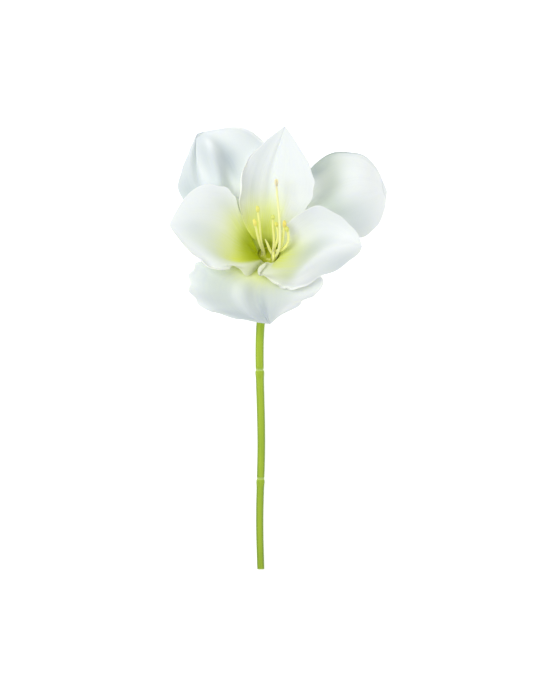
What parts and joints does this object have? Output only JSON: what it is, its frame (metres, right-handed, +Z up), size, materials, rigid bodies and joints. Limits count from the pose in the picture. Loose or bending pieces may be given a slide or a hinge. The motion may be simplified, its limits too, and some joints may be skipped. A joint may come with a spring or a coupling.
{
  "type": "amaryllis stem",
  "caption": "Cut amaryllis stem lying down: one wide white bloom facing up, with waved pointed tepals, pale stamens and a long pistil on a slim ringed green stem.",
  "frame": {"origin": "on the table that the flower lies on, under the middle of the whole flower", "axes": "+Z up from the table, +Y from the stem's cut end towards the top of the bloom, +X to the right seen from above"},
  "size_m": [0.1963, 0.3998, 0.0678],
  "materials": {
    "stem": "satin",
    "flower_base": "satin",
    "tepal": "satin",
    "stamens": "satin",
    "pistil": "satin"
  },
  "bodies": {
    "root": {"stem": "stem", "flower_base": "flower_base", "tepal_inner_top": "tepal", "tepal_inner_left": "tepal", "tepal_inner_right": "tepal", "tepal_outer_lower": "tepal", "tepal_outer_upper_left": "tepal", "tepal_outer_upper_right": "tepal", "stamens": "stamens", "pistil": "pistil"}
  },
  "joints": []
}
